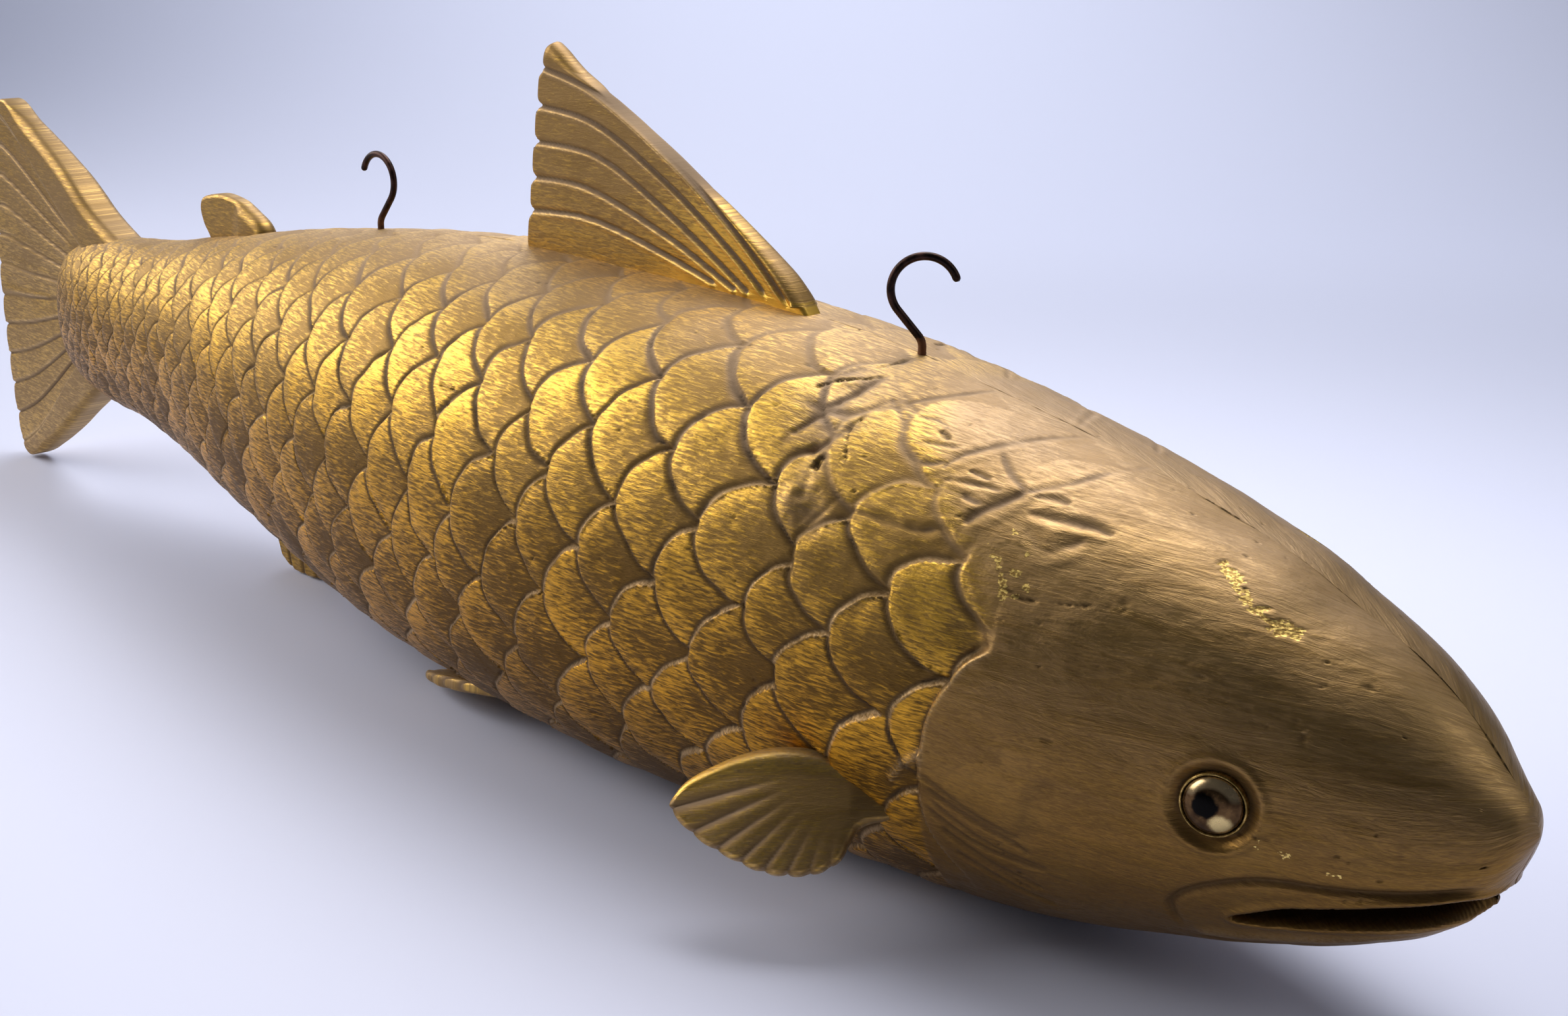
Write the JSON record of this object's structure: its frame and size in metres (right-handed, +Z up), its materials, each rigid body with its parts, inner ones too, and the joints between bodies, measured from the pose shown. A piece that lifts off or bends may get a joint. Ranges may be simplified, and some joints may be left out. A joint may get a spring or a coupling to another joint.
{
  "type": "hanging carved fish",
  "caption": "Carved and gilded wooden fish with scaled body, fins and glass eyes, hung from screw hooks in its back.",
  "frame": {"origin": "on the ground under the centre of the bounding box; the belly's planed flat lies on z = 0", "axes": "+X towards the snout, +Y to the fish's left side, +Z up; the middle plane of the fish is y = 0"},
  "size_m": [1.22, 0.2906, 0.361],
  "materials": {
    "gilt_scales": "worn bronze-gold paint over gesso on carved wood, satin, brushed streaks",
    "gilt_head": "smooth worn bronze-gold paint over gesso, satin",
    "gilt_fins": "worn bronze-gold paint on carved wood, satin",
    "gilt_ring": "bronze-gold paint, rubbed bright",
    "bare_wood": "bare turned dowel",
    "eye_glass": "glossy domed glass over a painted gold iris and black pupil",
    "hook_iron": "dark browned iron with rust at the shank",
    "washer_iron": "rusty iron"
  },
  "bodies": {
    "fish": {"spine_board": "gilt_scales", "head_cheek_right": "gilt_head", "head_cheek_left": "gilt_head", "inner_plank_right": "gilt_scales", "inner_plank_left": "gilt_scales", "outer_plank_right": "gilt_scales", "outer_plank_left": "gilt_scales", "cross_dowels": "bare_wood", "head_dowels": "bare_wood", "dorsal_fin": "gilt_fins", "dorsal_dowels": "bare_wood", "tail_fin": "gilt_fins", "tail_dowels": "bare_wood", "adipose_fin": "gilt_fins", "adipose_dowel": "bare_wood", "anal_fin": "gilt_fins", "anal_dowel": "bare_wood", "pectoral_fin_right": "gilt_fins", "pectoral_fin_left": "gilt_fins", "pectoral_dowels": "bare_wood", "pelvic_fin_right": "gilt_fins", "pelvic_fin_left": "gilt_fins", "pelvic_dowels": "bare_wood", "eye_ring_right": "gilt_ring", "eye_ring_left": "gilt_ring", "eye_glass_right": "eye_glass", "eye_glass_left": "eye_glass", "washer_front": "washer_iron", "washer_rear": "washer_iron"},
    "front_hook": {"hook_front": "hook_iron"},
    "rear_hook": {"hook_rear": "hook_iron"}
  },
  "joints": [
    {"name": "front_hook_turn", "type": "hinge", "parent": "fish", "child": "front_hook", "pos_m": [0.31, 0, 0.238], "axis": [0, 0, 1], "range_deg": [0, 180]},
    {"name": "rear_hook_turn", "type": "hinge", "parent": "fish", "child": "rear_hook", "pos_m": [-0.103, 0, 0.241], "axis": [0, 0, 1], "range_deg": [0, 180]}
  ]
}
